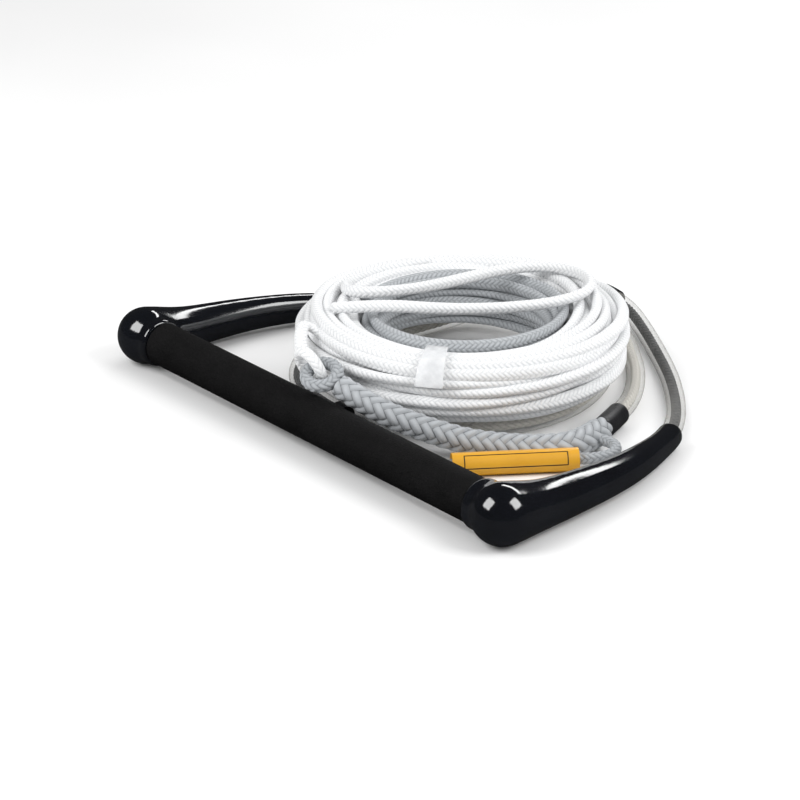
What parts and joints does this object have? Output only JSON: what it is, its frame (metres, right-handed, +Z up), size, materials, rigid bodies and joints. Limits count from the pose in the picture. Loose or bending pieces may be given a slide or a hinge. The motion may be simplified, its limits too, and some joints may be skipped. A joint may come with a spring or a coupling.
{
  "type": "tow rope handle",
  "caption": "Tow rope handle with a foam-gripped bar, two moulded arms, rope legs in clear hose, a spliced trunk and the main tow rope coiled beside it.",
  "frame": {"origin": "on the floor, under the middle of the bar, grip and arms, measured without the rope", "axes": "X along the bar, +Y from the bar towards the boat, +Z up from the floor that the handle lies on"},
  "size_m": [0.38, 0.3208, 0.0662],
  "materials": {
    "arm_moulding": "gloss black moulded rubberised plastic",
    "grip_foam": "matte fine-celled foam",
    "bar_alloy": "drawn tube, satin",
    "bush_nylon": "natural nylon",
    "core_rope": "dark grey braided rope",
    "clear_hose": "milky clear soft hose",
    "shrink_black": "satin black heat-shrink tube",
    "sleeve_yellow": "satin yellow sleeve with thin dark border lines",
    "trunk_rope": "thick grey hollow braid",
    "tail_rope": "thin grey braid",
    "main_rope": "white polyethylene braid",
    "takeoff_rope": "light grey polyethylene braid",
    "tie_tape": "thin clear tape"
  },
  "bodies": {
    "handle_and_rope": {"left_arm": "arm_moulding", "right_arm": "arm_moulding", "bar_tube": "bar_alloy", "foam_grip": "grip_foam", "left_bar_bush": "bush_nylon", "right_bar_bush": "bush_nylon", "bridle_rope": "core_rope", "right_leg_hose": "clear_hose", "left_leg_hose": "clear_hose", "right_leg_rope": "core_rope", "left_leg_rope": "core_rope", "right_hose_band": "shrink_black", "right_hose_cap": "shrink_black", "leg_joint_collar": "shrink_black", "right_leg_tail": "tail_rope", "trunk_braid": "trunk_rope", "trunk_eye": "trunk_rope", "mainline_eye": "main_rope", "mainline_lead": "main_rope", "mainline_coil": "main_rope", "takeoff_coil": "takeoff_rope", "boat_loop": "main_rope", "coil_tie_band": "tie_tape"},
    "sleeve": {"warning_sleeve": "sleeve_yellow"}
  },
  "joints": [
    {"name": "sleeve_slide", "type": "slide", "parent": "handle_and_rope", "child": "sleeve", "axis": [0.5501, 0.8351, 0], "range_m": [-0.0035, 0.0035]}
  ]
}
